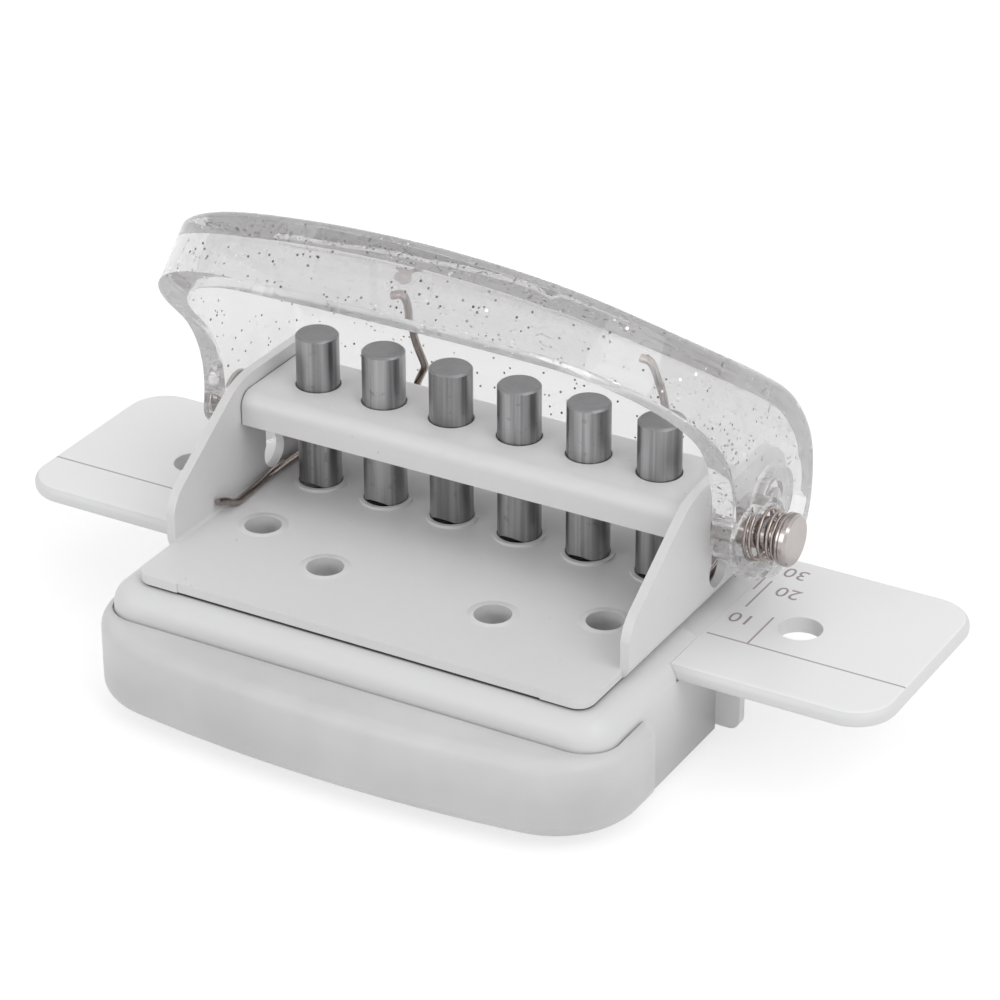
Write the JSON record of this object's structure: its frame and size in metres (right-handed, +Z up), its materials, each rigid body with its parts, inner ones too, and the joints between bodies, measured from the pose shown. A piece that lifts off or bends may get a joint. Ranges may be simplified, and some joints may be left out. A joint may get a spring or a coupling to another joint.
{
  "type": "six-hole paper punch",
  "caption": "Desk punch for ring-binder paper: a hooded lever drives a row of steel pins through a die plate, over a slide-out chip tray with a paper ruler on each side.",
  "frame": {"origin": "on the desk, in the plane of the rubber feet, straight under the middle of the row of pins", "axes": "+X along the row of pins towards the shaft's push head, +Y towards the side where the paper goes in, +Z up"},
  "size_m": [0.1194, 0.0578, 0.0626],
  "materials": {
    "white_enamel": "satin",
    "die_steel": "ground",
    "white_plastic": "satin moulded",
    "zinc": "zinc plated",
    "foot_rubber": "matte",
    "frosted_plastic": "frosted",
    "bright_steel": "bright drawn",
    "spring_steel": "nickel plated",
    "clear_plastic": "clear with fine silver glitter",
    "bright_plate": "polished"
  },
  "bodies": {
    "base": {"metal_frame": "white_enamel", "bridge_guide": "white_enamel", "die_plate": "die_steel", "throat_spacer": "die_steel", "frame_rivets": "white_enamel", "base_body": "white_plastic", "base_screws": "zinc", "rubber_feet": "foot_rubber", "ruler_left": "white_plastic", "ruler_right": "white_plastic", "torsion_spring_left": "spring_steel", "torsion_spring_right": "spring_steel"},
    "lever": {"handle": "clear_plastic", "hinge_rod": "bright_steel"},
    "pin_row": {"punch_pin_1": "bright_steel", "punch_pin_2": "bright_steel", "punch_pin_3": "bright_steel", "punch_pin_4": "bright_steel", "punch_pin_5": "bright_steel", "punch_pin_6": "bright_steel"},
    "push_shaft": {"press_shaft": "bright_plate", "shaft_clip": "spring_steel", "shaft_spring": "spring_steel"},
    "tray": {"chip_tray": "frosted_plastic"}
  },
  "joints": [
    {"name": "handle_hinge", "type": "hinge", "parent": "base", "child": "lever", "pos_m": [0, 0.0075, 0.0265], "axis": [1, 0, 0], "range_deg": [0, 42], "stiffness_Nm_per_rad": 0.12, "springref_deg": -28.65, "deforming": ["torsion_spring_left", "torsion_spring_right"]},
    {"name": "pin_slide", "type": "slide", "parent": "base", "child": "pin_row", "axis": [0, 0, -1], "range_m": [0, 0.0065]},
    {"name": "shaft_push", "type": "slide", "parent": "pin_row", "child": "push_shaft", "axis": [-1, 0, 0], "range_m": [0, 0.0015], "stiffness_N_per_m": 300, "springref_m": -0.002, "deforming": ["shaft_spring"]},
    {"name": "tray_slide", "type": "slide", "parent": "base", "child": "tray", "axis": [0, -1, 0], "range_m": [0, 0.045]}
  ],
  "couplings": [
    {"joint": "pin_slide", "follows": "handle_hinge", "m_per_rad": 0.008867}
  ]
}
